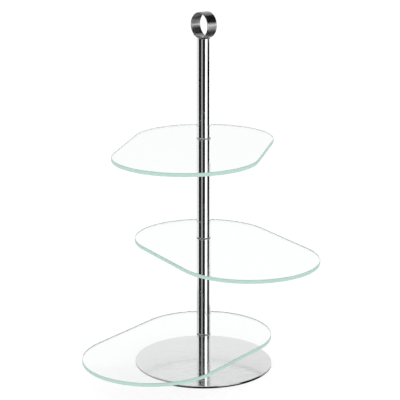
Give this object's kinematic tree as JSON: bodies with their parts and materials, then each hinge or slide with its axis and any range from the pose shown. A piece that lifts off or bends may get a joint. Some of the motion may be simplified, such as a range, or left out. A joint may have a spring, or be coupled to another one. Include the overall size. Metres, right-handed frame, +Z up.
{
  "type": "tiered cake stand",
  "caption": "Tiered serving stand: oblong round-ended glass plates swivel on an off-centre steel pole with a round base and a finger ring.",
  "frame": {"origin": "on the pole axis, in the plane of the table, at the centre of the base pad's underside", "axes": "+Z up along the pole; the finger ring's axis lies along Y; the front of the stand as pictured faces +X and -Y"},
  "size_m": [0.251, 0.2503, 0.4078],
  "materials": {
    "polished_steel": "mirror-polished stainless steel",
    "brushed_steel": "finely brushed stainless steel",
    "satin_steel": "stainless steel brushed round its circumference",
    "plated_steel": "bright zinc-plated threads and plugs",
    "plate_glass": "clear float glass with polished green-tinted edges",
    "clear_washer": "clear soft plastic",
    "nylon_bush": "natural white nylon",
    "foam_pad": "dark matt foam rubber"
  },
  "bodies": {
    "stand": {"base_pad": "foam_pad", "base_disc": "brushed_steel", "base_screw": "plated_steel", "lower_tube": "polished_steel", "lower_tube_lower_plug": "plated_steel", "lower_tube_upper_plug": "plated_steel", "bottom_tier_stud": "plated_steel", "bottom_tier_lower_washer": "clear_washer", "bottom_tier_bush": "nylon_bush", "bottom_tier_upper_washer": "clear_washer", "middle_tube": "polished_steel", "middle_tube_lower_plug": "plated_steel", "middle_tube_upper_plug": "plated_steel", "middle_tier_stud": "plated_steel", "middle_tier_lower_washer": "clear_washer", "middle_tier_bush": "nylon_bush", "middle_tier_upper_washer": "clear_washer", "upper_tube": "polished_steel", "upper_tube_lower_plug": "plated_steel", "upper_tube_upper_plug": "plated_steel", "top_tier_stud": "plated_steel", "top_tier_lower_washer": "clear_washer", "top_tier_bush": "nylon_bush", "top_tier_upper_washer": "clear_washer", "top_tube": "polished_steel", "top_tube_lower_plug": "plated_steel", "top_cap": "polished_steel", "ring_stud": "plated_steel", "finger_ring": "satin_steel"},
    "bottom_plate": {"bottom_tier_glass_plate": "plate_glass"},
    "middle_plate": {"middle_tier_glass_plate": "plate_glass"},
    "top_plate": {"top_tier_glass_plate": "plate_glass"}
  },
  "joints": [
    {"name": "bottom_plate_swivel", "type": "hinge", "parent": "stand", "child": "bottom_plate", "pos_m": [0, 0, 0.03455], "axis": [0, 0, 1], "continuous": true},
    {"name": "middle_plate_swivel", "type": "hinge", "parent": "stand", "child": "middle_plate", "pos_m": [0, 0, 0.14965], "axis": [0, 0, 1], "continuous": true},
    {"name": "top_plate_swivel", "type": "hinge", "parent": "stand", "child": "top_plate", "pos_m": [0, 0, 0.26475], "axis": [0, 0, 1], "continuous": true}
  ]
}
